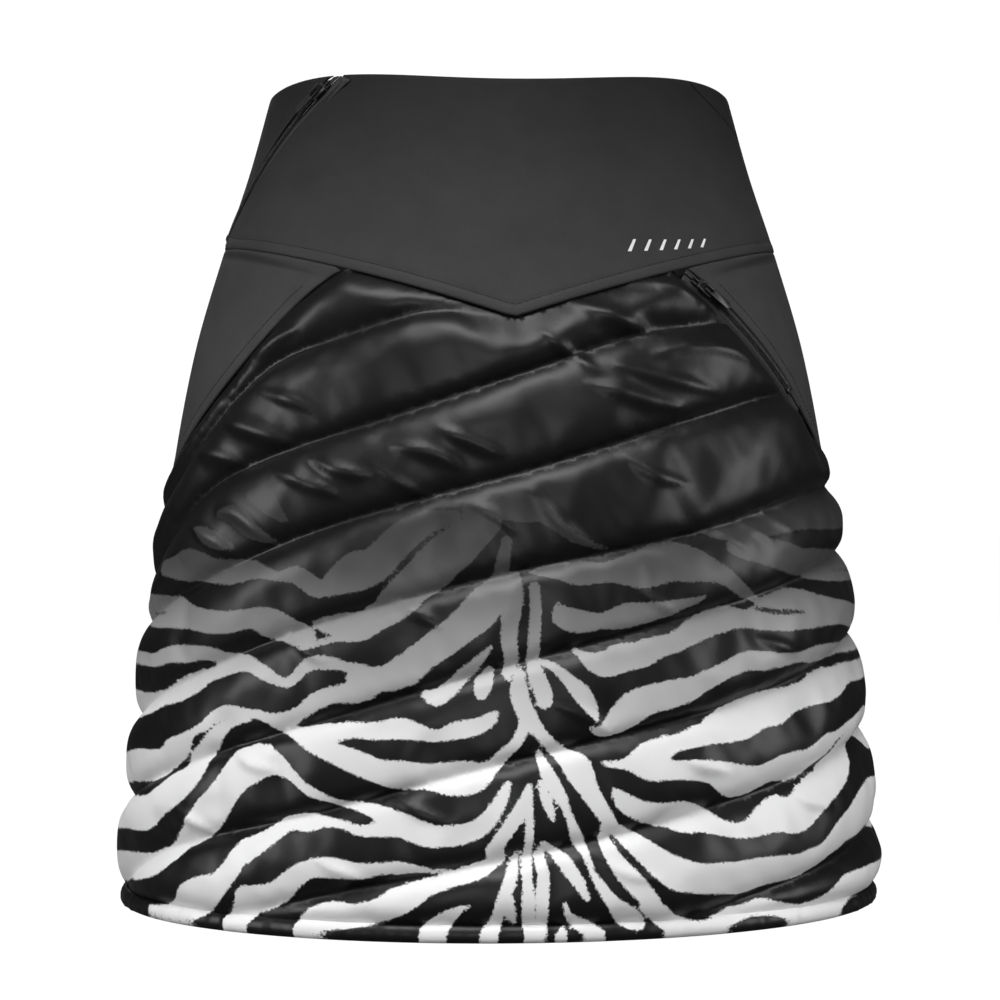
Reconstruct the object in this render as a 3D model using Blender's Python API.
"""Quilted insulated overskirt: softshell yoke and side panels, padded front and back, two zips. Metres, +Z up."""

import math

import bpy
from mathutils import Matrix, Vector
from mathutils.geometry import delaunay_2d_cdt

MM = 0.001

# The skirt as worn, in mm.
LENGTH = 440
HEM_WIDTH = 414
HEM_DEPTH = 306
WAIST_WIDTH = 253
WAIST_DEPTH = 176
YOKE_DEPTH = 83
YOKE_DIP = 44
RIM_LIFT = 5.5

# The flare: at each share of the length, how much of the step from waist to hem is there.
FLARE_AT = (0, 0.261, 0.52, 0.682, 0.811, 0.909, 1)
WIDTH_FLARE = (1, 0.857, 0.677, 0.516, 0.313, 0.137, 0)
DEPTH_FLARE = (1, 0.854, 0.7, 0.562, 0.362, 0.162, 0)

# Seams, as degrees round the body from the front centre and mm above the yoke's side corner.
SIDE_SEAM = ((33, -17.6), (45, -29), (56, -85), (90, -128.4))
YOKE_DIAGONAL = ((105, -1.2), (100, 26), (94, 44), (86.5, 56), (70, 67.5), (61.6, 75), (56, 81), (51, 88.4))
SIDE_ZIP_ENDS = ((-47.5, 84), (-86.5, 5))
POCKET_ZIP_ENDS = ((36.5, -22.2), (61, -79))

# The pocket bag's edge, from the foot of the pocket zip round the back to its top.
BAG_EDGE = (
    (70, -89),
    (78, -105),
    (90, -113),
    (100, -107),
    (107, -89),
    (109, -65),
    (104, -41),
    (94, -27),
    (84, -20),
    (74, -18),
    (64, -17),
    (54, -17),
    (46, -18),
)

# Quilting lines of the front, measured like the seams; the back has the same lines mirrored.
QUILT_LINES = (
    ((-90, -153), (-70, -117), (-48, -70), (-32, -54), (-16, -41), (-3, -43)),
    ((-90, -191), (-64, -139), (-46, -117), (-22, -96), (0, -74), (23, -52), (46, -43)),
    ((-90, -209), (-60, -182), (-30, -150), (0, -124), (30, -97), (57, -82), (69, -105)),
    ((-90, -259), (-60, -231), (-30, -199), (0, -173), (30, -154), (60, -135), (90, -128)),
    ((-90, -303), (-60, -277), (-30, -249), (0, -219), (30, -195), (60, -175), (90, -161)),
    ((-90, -353), (-60, -319), (-30, -295), (0, -267), (30, -245), (60, -223), (90, -205)),
    ((-60, -363), (-30, -337), (0, -315), (30, -293), (60, -273), (90, -257)),
    ((10, -361), (30, -343), (60, -325), (90, -307)),
)

# Layers, as mm outwards from the body surface.
SOFTSHELL = (-0.8, 0.8)
LINING = (-2.9, -2.3)
WADDING_BACK = -2.0
WADDING_AT_SEAM = -0.8
SHELL_THICKNESS = 1.0
PUFF = 6.0
PUFF_REACH = 26
LAYER_GAP = 0.3
FACING_DEPTH = 35
FACING = (-3.6, -2.4)
POCKET_BAG = (-3.8, -2.0)
HEM_BAND = (-2.9, 1.2)
HEM_BAND_HEIGHT = 9
SEAM_GAP = 0.2

# Zips: the slider runs on an arc, and every size below is measured from that arc.
RUN_GAP = 0.3
TAPE_WIDTH = 2.9
TAPE_THICKNESS = 0.8
SLIT = 1.6
COIL_RADIUS = 0.5
STOP_LENGTH = 3
STOP_HEIGHT = 1.2
STOP_REACH = 2.2
SLIDER_LENGTH = 9
BLADE_THICKNESS = 1.0
BAIL_WIDTH = 1.4
BAIL_HEIGHT = 3.2
BAIL_THICKNESS = 1.1
BAIL_FOOT = 3.6
PIN_HALF = 0.6
PULLER_LENGTH = 17
PULLER_WIDTH = 4.8
PULLER_THICKNESS = 1.0
WINDOW_GAP = 0.7

TAPE_INNER = SLIT / 2
TAPE_OUTER = TAPE_INNER + TAPE_WIDTH
TAPE_FACE = TAPE_THICKNESS / 2
ZIP_EDGE = TAPE_OUTER + 0.4
COIL_ACROSS = TAPE_INNER + COIL_RADIUS + 0.1
COIL_LIFT = TAPE_FACE + COIL_RADIUS + RUN_GAP
OUTER_BLADE = COIL_LIFT + COIL_RADIUS + RUN_GAP
INNER_BLADE = -TAPE_FACE - RUN_GAP - BLADE_THICKNESS
SLIDER_WIDTH = 2 * (TAPE_OUTER - 0.4)
POST_WIDTH = SLIT - 0.7
BAIL_SILL = OUTER_BLADE + BLADE_THICKNESS
BAIL_TOP = BAIL_SILL + BAIL_HEIGHT
PIN_LIFT = BAIL_SILL + (BAIL_HEIGHT - BAIL_THICKNESS) / 2
WINDOW_WIDTH = BAIL_WIDTH + 2 * WINDOW_GAP
WINDOW_LENGTH = math.hypot(BAIL_FOOT, BAIL_TOP - PIN_LIFT) + 0.5

MM_PER_DEGREE = 2.8
GRID = 24
CREASE_CLEAR = 11


def clear_scene():
    for item in list(bpy.data.objects):
        bpy.data.objects.remove(item)


def flare(height, values):
    """A smooth curve through the values at FLARE_AT."""
    share = height / LENGTH
    last = len(FLARE_AT) - 1
    i = min(max(sum(share >= step for step in FLARE_AT) - 1, 0), last - 1)
    span = FLARE_AT[i + 1] - FLARE_AT[i]
    t = (share - FLARE_AT[i]) / span

    def slope(k):
        low = max(k - 1, 0)
        high = min(k + 1, last)
        return (values[high] - values[low]) / (FLARE_AT[high] - FLARE_AT[low])

    start = (2 * t**3 - 3 * t**2 + 1) * values[i] + (t**3 - 2 * t**2 + t) * span * slope(i)
    end = (3 * t**2 - 2 * t**3) * values[i + 1] + (t**3 - t**2) * span * slope(i + 1)
    return start + end


def half_width(height):
    return (WAIST_WIDTH + (HEM_WIDTH - WAIST_WIDTH) * flare(height, WIDTH_FLARE)) / 2


def half_depth(height):
    return (WAIST_DEPTH + (HEM_DEPTH - WAIST_DEPTH) * flare(height, DEPTH_FLARE)) / 2


def on_skirt(points):
    """Points measured from the yoke's side corner, as heights above the hem."""
    return tuple((turn, LENGTH - YOKE_DEPTH + lift) for turn, lift in points)


def surface(turn, height, out=0.0):
    """The point at a turn in degrees and a height, moved out from the body surface."""
    a = half_width(height)
    b = half_depth(height)
    angle = math.radians(turn)
    way = Vector((b * math.sin(angle), -a * math.cos(angle), 0)).normalized()
    return Vector((a * math.sin(angle), -b * math.cos(angle), height)) + way * out


def turn_and_height(point):
    a = half_width(point.z)
    b = half_depth(point.z)
    return math.degrees(math.atan2(point.x / a, -point.y / b)), point.z


def true_normal(turn, height):
    around = surface(turn + 0.1, height) - surface(turn - 0.1, height)
    up = surface(turn, height + 0.1) - surface(turn, height - 0.1)
    return around.cross(up).normalized()


def rim(turn):
    side = abs((turn + 180) % 360 - 180)
    return LENGTH + RIM_LIFT * math.sin(math.radians(1.8 * min(side, 100))) ** 2


def yoke_seam(turn):
    side = abs((turn + 180) % 360 - 180)
    side = min(side, 180 - side)
    return LENGTH - YOKE_DEPTH - YOKE_DIP * (1 - side / 90) ** 2


def side_seam(t):
    """A point of the curved seam between the side panel and the front, from the yoke to the side."""
    parts = ((1 - t) ** 3, 3 * (1 - t) ** 2 * t, 3 * (1 - t) * t**2, t**3)
    turn = sum(part * point[0] for part, point in zip(parts, on_skirt(SIDE_SEAM)))
    height = sum(part * point[1] for part, point in zip(parts, on_skirt(SIDE_SEAM)))
    return turn, height


def spread(start, end, steps):
    return [start + (end - start) * i / steps for i in range(steps + 1)]


class Track:
    """The arc that a zip's slider follows, from one end to the other over the body surface."""

    def __init__(self, ends):
        first = surface(*ends[0])
        last = surface(*ends[1])
        middle = (first + last) / 2
        self.along = (last - first).normalized()
        out = true_normal(*turn_and_height(middle))
        self.out = (out - self.along * out.dot(self.along)).normalized()
        self.across = self.out.cross(self.along)
        chord = (last - first).length
        rise = 0
        for _ in range(30):
            spot = middle + self.out * rise
            turn, height = turn_and_height(spot)
            rise += (surface(turn, height) - spot).dot(true_normal(turn, height))
        self.radius = (chord**2 / 4 + rise**2) / (2 * rise)
        self.centre = middle + self.out * (rise - self.radius)
        self.half = math.asin(chord / 2 / self.radius) * self.radius

    def place(self, run):
        """The frame at a distance along the arc from its middle: x along, y across, z outwards."""
        angle = run / self.radius
        out = self.out * math.cos(angle) + self.along * math.sin(angle)
        along = self.along * math.cos(angle) - self.out * math.sin(angle)
        spot = self.centre + out * self.radius
        columns = (along, self.across, out, spot)
        return Matrix([[column[row] for column in columns] for row in range(3)] + [[0, 0, 0, 1]])

    def edge(self, across, extra=0.0, steps=8):
        """The line beside the arc where a panel stops, as turns and heights."""
        runs = spread(-self.half - extra, self.half + extra, steps)
        return [turn_and_height(self.place(run) @ Vector((0, across, 0))) for run in runs]


def add_mesh(name, points, faces):
    mesh = bpy.data.meshes.new(name)
    mesh.from_pydata([tuple(Vector(point) * MM) for point in points], [], faces)
    mesh.validate()
    item = bpy.data.objects.new(name, mesh)
    bpy.context.scene.collection.objects.link(item)
    return item


def flat_points(outline):
    return [Vector((turn * MM_PER_DEGREE, height)) for turn, height in outline]


def area(flat):
    ends = zip(flat, flat[1:] + flat[:1])
    return sum(p.x * q.y - q.x * p.y for p, q in ends) / 2


def inset(outline, gap=SEAM_GAP):
    """The outline moved inwards by the gap, going anticlockwise as seen from outside."""
    flat = flat_points(outline)
    if area(flat) < 0:
        flat.reverse()
    moved = []
    for i, point in enumerate(flat):
        before = (point - flat[i - 1]).normalized()
        after = (flat[(i + 1) % len(flat)] - point).normalized()
        way = Vector((-before.y - after.y, before.x + after.x))
        way = way / max(way.length_squared / 2, 0.5)
        moved.append(point + way * gap)
    return [(point.x / MM_PER_DEGREE, point.y) for point in moved]


def distance_to(spot, start, end):
    run = end - start
    t = min(max((spot - start).dot(run) / run.length_squared, 0), 1)
    return (spot - start - run * t).length


def inside(spot, flat):
    found = False
    for p, q in zip(flat, flat[1:] + flat[:1]):
        if (p.y > spot.y) != (q.y > spot.y) and spot.x < p.x + (spot.y - p.y) * (q.x - p.x) / (q.y - p.y):
            found = not found
    return found


def filling(outline, step=GRID):
    """Points in rows inside the outline, clear of its edge."""
    flat = flat_points(outline)
    sides = list(zip(flat, flat[1:] + flat[:1]))
    low = min(point.y for point in flat)
    high = max(point.y for point in flat)
    left = min(point.x for point in flat)
    right = max(point.x for point in flat)
    found = []
    for row in range(int((high - low) / step) + 1):
        for column in range(int((right - left) / step) + 2):
            spot = Vector((left + (column + row % 2 / 2) * step, low + row * step))
            if inside(spot, flat) and min(distance_to(spot, *side) for side in sides) > step * 0.45:
                found.append((spot.x / MM_PER_DEGREE, spot.y))
    return found


def sheet(name, outline, inner, low, high):
    """One closed panel inside an outline; low and high give its two faces as mm out from the body surface."""
    count = len(outline)
    edges = [(i, (i + 1) % count) for i in range(count)]
    made = delaunay_2d_cdt(flat_points(outline + inner), edges, [], 1, 1e-4)
    spots = [(point.x / MM_PER_DEGREE, point.y) for point in made[0]]
    faces = [tuple(face) for face in made[2]]
    total = len(spots)
    points = [surface(*spot, high(*spot)) for spot in spots]
    points += [surface(*spot, low(*spot)) for spot in spots]
    sides = {(face[i], face[(i + 1) % 3]) for face in faces for i in range(3)}
    rims = [side for side in sides if (side[1], side[0]) not in sides]
    walls = [(end, start, start + total, end + total) for start, end in sorted(rims)]
    backs = [tuple(i + total for i in reversed(face)) for face in faces]
    return add_mesh(name, points, faces + backs + walls)


def plain_sheet(name, outline, layer, step=GRID):
    edge = inset(outline)
    return sheet(name, edge, filling(edge, step), lambda *_: layer[0], lambda *_: layer[1])


def seam_row(start, end, step=8):
    steps = max(round(abs(end - start) / step), 1)
    return [(turn, yoke_seam(turn)) for turn in spread(start, end, steps)]


def rim_row(start, end, step=8):
    steps = round(abs(end - start) / step)
    return [(turn, rim(turn)) for turn in spread(start, end, steps)]


def build_yokes(side_zip):
    """The front and back yokes, which meet at the diagonal seam and leave room for the side zip."""
    diagonal = on_skirt(YOKE_DIAGONAL)
    front_edge = side_zip.edge(ZIP_EDGE)
    back_edge = [(turn + 360, height) for turn, height in side_zip.edge(-ZIP_EDGE)]
    front_foot = front_edge[-1][0] - 1.2
    back_foot = back_edge[-1][0] - 3.2
    front_top = front_edge[0][0] + 1.6
    back_top = back_edge[0][0] + 1.2
    front = seam_row(front_foot, diagonal[0][0]) + list(diagonal[1:-1])
    front += rim_row(diagonal[-1][0], front_top) + front_edge
    plain_sheet("front_yoke", front, SOFTSHELL, 18)
    back = seam_row(diagonal[0][0], back_foot) + back_edge[::-1]
    back += rim_row(back_top, diagonal[-1][0]) + list(diagonal[-2:0:-1])
    plain_sheet("back_yoke", back, SOFTSHELL, 18)


def build_facing():
    """The band that finishes the waist on the inside, open at the side zip."""
    bottom = [(turn, LENGTH - FACING_DEPTH) for turn in spread(-56, 282, 42)]
    top = [(turn, rim(turn) - 2) for turn in spread(300, -38, 42)]
    plain_sheet("waist_facing", bottom + top, FACING, 18)


def side_row(mirror=False, steps=10):
    """The curved seam of one quarter as turns and heights, from the yoke to the side."""
    points = [side_seam(t) for t in spread(0, 1, steps)]
    return [(-turn, height) for turn, height in points] if mirror else points


def pocket_row(pocket, across):
    """The right front seam, where the panel edge stands back for the pocket zip."""
    return [side_seam(0)] + pocket.edge(across, 1.5) + [side_seam(t) for t in (0.73, 0.82, 0.91, 1)]


def build_side_panels(pocket):
    right_front = pocket_row(pocket, ZIP_EDGE)[1:]
    back = [(180 - turn, height) for turn, height in side_row()[::-1]]
    top = seam_row(145, 36)
    plain_sheet("side_panel_right", right_front + back[1:-1] + top, SOFTSHELL)
    front = side_row()[1:]
    left = [(-turn, height) for turn, height in front + back[1:-1] + top]
    plain_sheet("side_panel_left", left, SOFTSHELL)


def quilt_outline(right):
    left = side_row(mirror=True)
    seam = seam_row(-33, 33)
    foot = [(turn, HEM_BAND_HEIGHT + 0.2) for turn in spread(90, -90, 22)]
    heights = spread(HEM_BAND_HEIGHT + 0.2, on_skirt(SIDE_SEAM)[-1][1], 8)[1:-1]
    up = [(-90, height) for height in heights]
    down = [(90, height) for height in heights[::-1]]
    return up + left[::-1] + seam[1:-1] + right + down + foot


def resampled(lines, outline):
    """Evenly spaced points along the quilting lines, inside the outline and clear of its edge."""
    flat = flat_points(outline)
    sides = list(zip(flat, flat[1:] + flat[:1]))
    found = []
    for line in lines:
        marks = flat_points(line)
        for start, end in zip(marks, marks[1:]):
            steps = max(round((end - start).length / GRID), 1)
            found += [start.lerp(end, i / steps) for i in range(steps)]
    kept = [spot for spot in found if inside(spot, flat) and min(distance_to(spot, *side) for side in sides) > 7]
    return [(spot.x / MM_PER_DEGREE, spot.y) for spot in kept]


def clear_of(spot, lines):
    point = flat_points([spot])[0]
    for line in lines:
        marks = flat_points(line)
        if min(distance_to(point, *side) for side in zip(marks, marks[1:])) < CREASE_CLEAR:
            return False
    return True


def puff_at(outline, lines):
    """How far the padding stands out, by the distance to the nearest seam or quilting line."""
    flat = flat_points(outline)
    sides = list(zip(flat, flat[1:] + flat[:1]))
    for line in lines:
        marks = flat_points(line)
        sides += list(zip(marks, marks[1:]))

    def puff(turn, height):
        spot = Vector((turn * MM_PER_DEGREE, height))
        reach = min(min(distance_to(spot, *side) for side in sides) / PUFF_REACH, 1)
        return PUFF * (1 - (1 - reach) ** 2)

    return puff


def mirrored(points):
    return [(180 - turn, height) for turn, height in points]


def build_quilt(name, outline, lines):
    """One padded half: outer shell, wadding and lining, cut to the same outline."""
    edge = inset(outline)
    creases = resampled(lines, edge)
    inner = creases + [spot for spot in filling(edge) if clear_of(spot, lines)]
    puff = puff_at(edge, lines)

    def wadding_face(turn, height):
        return WADDING_AT_SEAM + puff(turn, height)

    def shell_back(turn, height):
        return wadding_face(turn, height) + LAYER_GAP

    def shell_face(turn, height):
        return shell_back(turn, height) + SHELL_THICKNESS

    sheet(name + "_quilt_shell", edge, inner, shell_back, shell_face)
    sheet(name + "_wadding", edge, inner, lambda *_: WADDING_BACK, wadding_face)
    sheet(name + "_lining", edge, inner, lambda *_: LINING[0], lambda *_: LINING[1])


def build_hem():
    """The closed band round the hem, with a flat foot."""
    turns = spread(0, 360, 48)[:-1]
    corners = ((HEM_BAND[1], 0), (HEM_BAND[1], HEM_BAND_HEIGHT), (HEM_BAND[0], HEM_BAND_HEIGHT), (HEM_BAND[0], 0))
    points = [surface(turn, height, out) for turn in turns for out, height in corners]
    total = len(points)
    faces = []
    for start in range(0, total, 4):
        for k in range(4):
            n = (k + 1) % 4
            faces.append((start + k, (start + 4) % total + k, (start + 4) % total + n, start + n))
    add_mesh("hem_band", points, faces)


def build_pocket_bag(pocket):
    """The flat bag behind the right side panel, with its mouth along the zip."""
    mouth = pocket.edge(ZIP_EDGE + 1.5)
    plain_sheet("pocket_bag", mouth + list(on_skirt(BAG_EDGE)), POCKET_BAG)


def sweep(name, track, start, end, section, steps):
    """A bar of constant section along the arc; the section holds (across, out) pairs, anticlockwise."""
    count = len(section)
    frames = [track.place(run) for run in spread(start, end, steps)]
    points = [frame @ Vector((0, across, out)) for frame in frames for across, out in section]
    faces = [tuple(range(count))[::-1]]
    for ring in range(steps):
        for k in range(count):
            n = (k + 1) % count
            low = ring * count
            faces.append((low + k, low + n, low + count + n, low + count + k))
    faces.append(tuple(steps * count + k for k in range(count)))
    return add_mesh(name, points, faces)


def box_section(across, out):
    return ((across[0], out[0]), (across[1], out[0]), (across[1], out[1]), (across[0], out[1]))


def ring_section(across, out, radius, count=6):
    angles = [2 * math.pi * i / count for i in range(count)]
    return tuple((across + radius * math.cos(angle), out + radius * math.sin(angle)) for angle in angles)


def box(name, x, y, z, place):
    points = [place @ Vector((x[i], y[j], z[k])) for i in (0, 1) for j in (0, 1) for k in (0, 1)]
    faces = [(0, 1, 3, 2), (4, 6, 7, 5), (0, 4, 5, 1), (2, 3, 7, 6), (0, 2, 6, 4), (1, 5, 7, 3)]
    return add_mesh(name, points, faces)


def prism(name, profile, depth, place, flip=False):
    """A profile of (along, second) points pushed through a depth across; flip lays it flat instead."""
    count = len(profile)
    ends = []
    for side in depth:
        for x, y in profile:
            ends.append(place @ (Vector((x, y, side)) if flip else Vector((x, side, y))))
    first = tuple(range(count))
    second = tuple(range(count, 2 * count))
    walls = [(k, (k + 1) % count, (k + 1) % count + count, k + count) for k in range(count)]
    faces = [first[::-1], second] + walls
    if not flip:
        faces = [face[::-1] for face in faces]
    return add_mesh(name, ends, faces)


def combine(base, other, operation):
    modifier = base.modifiers.new(other.name, "BOOLEAN")
    modifier.operation = operation
    modifier.solver = "EXACT"
    modifier.object = other
    other.hide_render = True
    other.display_type = "WIRE"


def build_slider(name, place):
    """Two blades joined by a thin post between the coils, with a bail for the puller."""
    x = (-SLIDER_LENGTH / 2, SLIDER_LENGTH / 2)
    y = (-SLIDER_WIDTH / 2, SLIDER_WIDTH / 2)
    slider = box(name, x, y, (OUTER_BLADE, BAIL_SILL), place)
    under = box(name + "_cut_under", x, y, (INNER_BLADE, INNER_BLADE + BLADE_THICKNESS), place)
    half = POST_WIDTH / 2
    post = box(name + "_cut_post", (-2, 2), (-half, half), (INNER_BLADE + 0.4, OUTER_BLADE + 0.4), place)
    foot = BAIL_SILL - 0.4
    sill = BAIL_TOP - BAIL_THICKNESS
    far = BAIL_FOOT
    near = BAIL_FOOT - BAIL_THICKNESS
    arch = [(-far, foot), (-near, foot), (-near, sill), (near, sill), (near, foot), (far, foot)]
    arch += [(far, BAIL_TOP - 0.6), (far - 0.6, BAIL_TOP), (0.6 - far, BAIL_TOP), (-far, BAIL_TOP - 0.6)]
    bail = prism(name + "_cut_bail", arch, (-BAIL_WIDTH / 2, BAIL_WIDTH / 2), place)
    combine(slider, post, "UNION")
    combine(slider, under, "UNION")
    combine(slider, bail, "UNION")


def build_puller(name, place):
    """A flat tab whose end bar turns under the slider's bail."""
    half = PULLER_WIDTH / 2
    thick = (PIN_LIFT - PULLER_THICKNESS / 2, PIN_LIFT + PULLER_THICKNESS / 2)
    outline = [(-PIN_HALF, -half), (PULLER_LENGTH - half, -half)]
    for i in range(1, 6):
        angle = math.radians(-90 + 30 * i)
        outline.append((PULLER_LENGTH - half + half * math.cos(angle), half * math.sin(angle)))
    outline += [(PULLER_LENGTH - half, half), (-PIN_HALF, half)]
    puller = prism(name, outline, thick, place, flip=True)
    window = (-WINDOW_WIDTH / 2, WINDOW_WIDTH / 2)
    hole = box(name + "_cut_window", (PIN_HALF, WINDOW_LENGTH), window, (thick[0] - 1, thick[1] + 1), place)
    combine(puller, hole, "DIFFERENCE")


def build_zip(name, sides, track, steps):
    """Tapes, coils, stops, slider and puller of one zip; sides names its two halves."""
    half = track.half
    face = TAPE_FACE
    for sign, side in zip((-1, 1), sides):
        across = sorted((sign * TAPE_INNER, sign * TAPE_OUTER))
        tape = box_section(across, (-face, face))
        sweep(f"{name}_tape_{side}", track, -half, half, tape, steps)
        coil = ring_section(sign * COIL_ACROSS, COIL_LIFT, COIL_RADIUS)
        end = half - STOP_LENGTH - RUN_GAP
        sweep(f"{name}_coil_{side}", track, -end, end, coil, steps)
        stop = box_section(sorted((sign * TAPE_INNER, sign * STOP_REACH)), (face + 0.2, face + 0.2 + STOP_HEIGHT))
        sweep(f"{name}_top_stop_{side}", track, -half, -half + STOP_LENGTH, stop, 1)
    stop = box_section((-STOP_REACH, STOP_REACH), (face + 0.2, face + 0.2 + STOP_HEIGHT))
    sweep(f"{name}_bottom_stop", track, half - STOP_LENGTH, half, stop, 1)
    rest = track.place(-half + STOP_LENGTH + 0.5 + SLIDER_LENGTH / 2)
    build_slider(f"{name}_slider", rest)
    build_puller(f"{name}_puller", rest)


def main():
    clear_scene()
    side_zip = Track(on_skirt(SIDE_ZIP_ENDS))
    pocket_zip = Track(on_skirt(POCKET_ZIP_ENDS))
    build_yokes(side_zip)
    build_facing()
    build_side_panels(pocket_zip)
    lines = [on_skirt(line) for line in QUILT_LINES]
    build_quilt("front", quilt_outline(pocket_row(pocket_zip, -ZIP_EDGE)), lines)
    build_quilt("back", mirrored(quilt_outline(side_row())), [mirrored(line) for line in lines])
    build_hem()
    build_pocket_bag(pocket_zip)
    build_zip("side_zip", ("back", "front"), side_zip, 12)
    build_zip("pocket_zip", ("front", "side"), pocket_zip, 10)


main()
